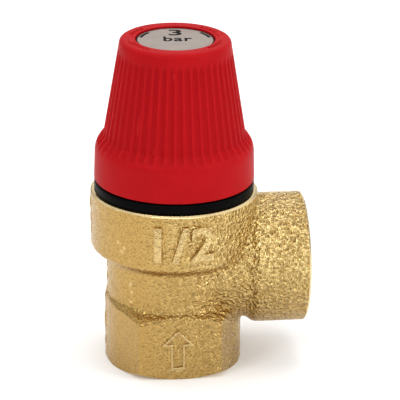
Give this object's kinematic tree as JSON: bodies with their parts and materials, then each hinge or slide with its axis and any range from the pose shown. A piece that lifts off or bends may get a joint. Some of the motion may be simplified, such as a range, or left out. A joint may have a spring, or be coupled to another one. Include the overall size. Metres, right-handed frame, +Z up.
{
  "type": "pressure relief valve",
  "caption": "Angle-pattern diaphragm relief valve: forged brass body with a hexagon inlet, side outlet and a red fluted test knob.",
  "frame": {"origin": "centre of the inlet face, on the valve's upright axis", "axes": "+Z up along the spindle to the knob, +X along the outlet, -Y to the hexagon flat with the flow arrow"},
  "size_m": [0.0408, 0.0318, 0.0636],
  "materials": {
    "forged_brass": "satin, pebbled casting grain",
    "turned_brass": "turned",
    "black_plastic": "matt",
    "red_plastic": "semi-gloss moulded",
    "grey_print": "satin print",
    "rubber": "matt",
    "steel": "bright"
  },
  "bodies": {
    "body": {"valve_body": "forged_brass", "bonnet": "black_plastic", "diaphragm": "rubber", "slip_ring": "steel", "spring": "steel", "upper_spring_washer": "steel", "adjusting_nut": "turned_brass"},
    "lifter": {"lift_washer": "steel"},
    "knob": {"knob": "red_plastic", "label_disc": "grey_print"},
    "spindle": {"stem": "turned_brass", "obturator": "turned_brass", "seat_seal": "rubber", "seal_retainer": "steel", "seal_screw": "steel", "diaphragm_washer": "steel", "spring_plate": "steel", "spring_clip": "steel", "lock_nut": "turned_brass"}
  },
  "joints": [
    {"name": "knob_rise", "type": "slide", "parent": "body", "child": "lifter", "axis": [0, 0, 1], "range_m": [0, 0.0018]},
    {"name": "knob_turn", "type": "hinge", "parent": "lifter", "child": "knob", "pos_m": [0, 0, 0.055], "axis": [0, 0, 1], "range_deg": [0, 74]},
    {"name": "relief_lift", "type": "slide", "parent": "lifter", "child": "spindle", "axis": [0, 0, 1], "range_m": [0, 0.0015], "stiffness_N_per_m": 5384, "springref_m": -0.00854, "deforming": ["spring", "diaphragm"]}
  ],
  "couplings": [
    {"joint": "knob_turn", "follows": "knob_rise", "rad_per_m": 717.5}
  ]
}
